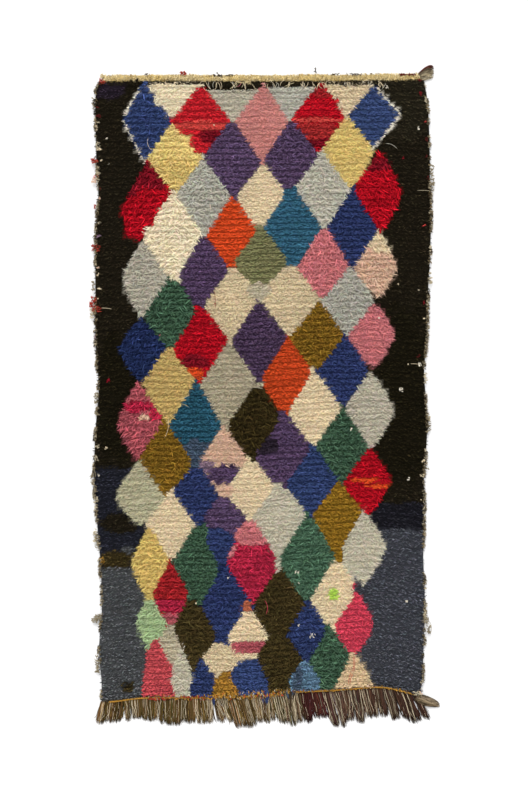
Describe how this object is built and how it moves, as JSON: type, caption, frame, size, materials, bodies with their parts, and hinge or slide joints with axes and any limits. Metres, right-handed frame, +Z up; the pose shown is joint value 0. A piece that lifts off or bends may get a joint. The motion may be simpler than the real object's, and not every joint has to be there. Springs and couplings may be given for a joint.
{
  "type": "boucherouite pile rug",
  "caption": "Flat hand-knotted pile rug, a long rectangle with wavy sides, a rolled binding across one end, loose warp fringe along the other and a tuft at two corners.",
  "frame": {"origin": "on the flat underside, at the middle of the rug's width and length", "axes": "+Z up through the pile, +Y along the rug from the fringed end to the bound end, +X across it"},
  "size_m": [1.1563, 2.218, 0.018],
  "materials": {
    "pile_wool": "shaggy knotted wool and rag yarn in many colours on a black ground, matt",
    "binding_wool": "undyed wool overcast by hand over the rolled warp ends, matt and fuzzy",
    "warp_yarn": "loose twisted warp ends in mixed browns, beige and maroon, matt",
    "twined_wool": "two-ply ochre wool, matt",
    "tuft_yarn": "bundled loose yarn ends in olive, brown, beige and maroon, matt"
  },
  "bodies": {
    "root": {"rug_cloth": "pile_wool", "top_binding": "binding_wool", "warp_fringe": "warp_yarn", "twined_cord": "twined_wool", "top_corner_tuft": "tuft_yarn", "bottom_corner_tuft": "tuft_yarn"}
  },
  "joints": []
}
